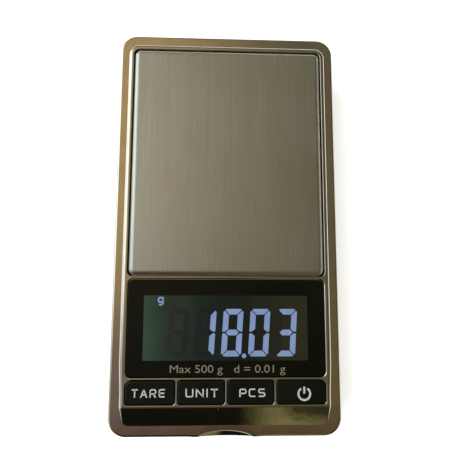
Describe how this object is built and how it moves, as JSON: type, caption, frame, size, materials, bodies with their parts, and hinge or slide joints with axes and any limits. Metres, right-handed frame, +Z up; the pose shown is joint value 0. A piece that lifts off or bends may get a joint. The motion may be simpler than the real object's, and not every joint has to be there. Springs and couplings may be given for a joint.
{
  "type": "digital gram scale",
  "caption": "Pocket digital gram scale with a brushed steel weighing platform, a backlit display window, push keys and a polished chrome case.",
  "frame": {"origin": "centre of the footprint, on the surface that the feet stand on", "axes": "+Z up out of the weighing platform, +Y along the length from the keys towards the platform, +X to the right of a user facing the display"},
  "size_m": [0.0644, 0.1158, 0.02],
  "materials": {
    "chrome": "polished chrome plating on moulded plastic",
    "brushed_steel": "brushed, grain along the length",
    "window": "tinted gloss acrylic",
    "key_black": "satin",
    "case_black": "fine moulded texture",
    "rubber": "matte",
    "lcd_glass": "polarised display glass",
    "light_guide": "frosted light guide",
    "white_plastic": "satin",
    "circuit_board": "solder mask",
    "aluminium": "machined",
    "zinc_steel": "zinc plated",
    "cell_jacket": "printed foil jacket",
    "gauge_foil": "polyimide foil",
    "wire_red": "insulation",
    "wire_black": "insulation",
    "wire_white": "insulation",
    "wire_green": "insulation"
  },
  "bodies": {
    "case": {"lower_case": "case_black", "upper_case": "chrome", "display_window": "window", "lcd_panel": "lcd_glass", "lcd_backlight": "light_guide", "lcd_frame": "white_plastic", "contact_strip_front": "rubber", "contact_strip_back": "rubber", "main_circuit_board": "circuit_board", "controller_chip": "case_black", "battery_1": "cell_jacket", "battery_2": "cell_jacket", "battery_spring_1": "zinc_steel", "battery_spring_2": "zinc_steel", "link_contact": "zinc_steel", "plus_contact": "zinc_steel", "minus_contact": "zinc_steel", "load_cell": "aluminium", "overload_stop_screw": "zinc_steel", "load_cell_screw_1": "zinc_steel", "load_cell_screw_2": "zinc_steel", "board_screw_left": "zinc_steel", "board_screw_right": "zinc_steel", "strain_gauge_1": "gauge_foil", "strain_gauge_2": "gauge_foil", "strain_gauge_3": "gauge_foil", "strain_gauge_4": "gauge_foil", "signal_wire_red": "wire_red", "signal_wire_black": "wire_black", "signal_wire_white": "wire_white", "signal_wire_green": "wire_green", "foot_left_front": "rubber", "case_screw_left_front": "zinc_steel", "foot_right_front": "rubber", "case_screw_right_front": "zinc_steel", "foot_left_back": "rubber", "case_screw_left_back": "zinc_steel", "foot_right_back": "rubber", "case_screw_right_back": "zinc_steel", "tare_switch": "zinc_steel", "unit_switch": "zinc_steel", "count_switch": "zinc_steel", "power_switch": "zinc_steel"},
    "platform": {"weighing_platform": "brushed_steel", "platform_carrier": "case_black", "carrier_screw_1": "zinc_steel", "carrier_screw_2": "zinc_steel"},
    "battery_door": {"battery_door": "case_black"},
    "tare_key": {"tare_key": "key_black", "tare_switch_plunger": "key_black"},
    "unit_key": {"unit_key": "key_black", "unit_switch_plunger": "key_black"},
    "count_key": {"count_key": "key_black", "count_switch_plunger": "key_black"},
    "power_key": {"power_key": "key_black", "power_switch_plunger": "key_black"}
  },
  "joints": [
    {"name": "platform_press", "type": "slide", "parent": "case", "child": "platform", "axis": [0, 0, -1], "range_m": [0, 0.00025], "stiffness_N_per_m": 24500, "springref_m": -0.00003},
    {"name": "tare_key_press", "type": "slide", "parent": "case", "child": "tare_key", "axis": [0, 0, -1], "range_m": [0, 0.0004], "stiffness_N_per_m": 2500, "springref_m": -0.00004},
    {"name": "unit_key_press", "type": "slide", "parent": "case", "child": "unit_key", "axis": [0, 0, -1], "range_m": [0, 0.0004], "stiffness_N_per_m": 2500, "springref_m": -0.00004},
    {"name": "count_key_press", "type": "slide", "parent": "case", "child": "count_key", "axis": [0, 0, -1], "range_m": [0, 0.0004], "stiffness_N_per_m": 2500, "springref_m": -0.00004},
    {"name": "power_key_press", "type": "slide", "parent": "case", "child": "power_key", "axis": [0, 0, -1], "range_m": [0, 0.0004], "stiffness_N_per_m": 2500, "springref_m": -0.00004},
    {"name": "battery_door_slide", "type": "slide", "parent": "case", "child": "battery_door", "axis": [1, 0, 0], "range_m": [0, 0.058]}
  ]
}
